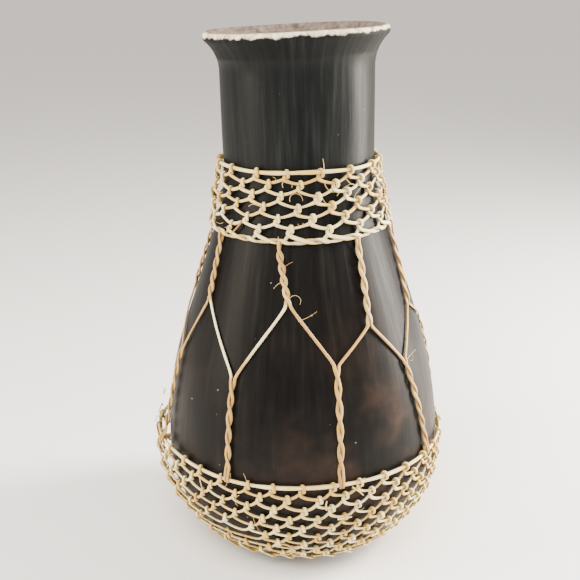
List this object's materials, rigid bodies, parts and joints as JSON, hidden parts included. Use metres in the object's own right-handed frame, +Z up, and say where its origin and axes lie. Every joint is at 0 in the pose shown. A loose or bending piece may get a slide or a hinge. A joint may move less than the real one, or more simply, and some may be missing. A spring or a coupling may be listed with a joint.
{
  "type": "clay pot in cane net",
  "caption": "Tall black clay pot with a flared lip, round belly and flat foot, held in a looped cane net with twisted hangers between neck and base.",
  "frame": {"origin": "centre of the flat foot, on the surface the pot stands on", "axes": "+Z up along the pot's axis, -Y towards the front, +X to the viewer's right"},
  "size_m": [0.2119, 0.2117, 0.364],
  "materials": {
    "clay": "burnished black clay, unglazed, low sheen",
    "cane": "pale dry cane, satin",
    "cane_ply": "tan split cane, satin"
  },
  "bodies": {
    "root": {"clay_pot": "clay", "neck_hoop": "cane", "neck_course_1": "cane", "neck_course_2": "cane", "neck_course_3": "cane", "neck_course_4": "cane", "neck_course_5": "cane", "ring_course": "cane", "ring_strand": "cane", "hanger_1": "cane_ply", "hanger_2": "cane_ply", "hanger_3": "cane_ply", "hanger_4": "cane_ply", "hanger_5": "cane_ply", "hanger_6": "cane_ply", "hanger_7": "cane_ply", "hanger_8": "cane_ply", "base_hoop": "cane", "base_course_1": "cane", "base_course_2": "cane", "base_course_3": "cane", "base_course_4": "cane", "base_course_5": "cane", "base_course_6": "cane", "base_course_7": "cane", "base_course_8": "cane", "base_course_9": "cane", "closing_ring": "cane"}
  },
  "joints": []
}
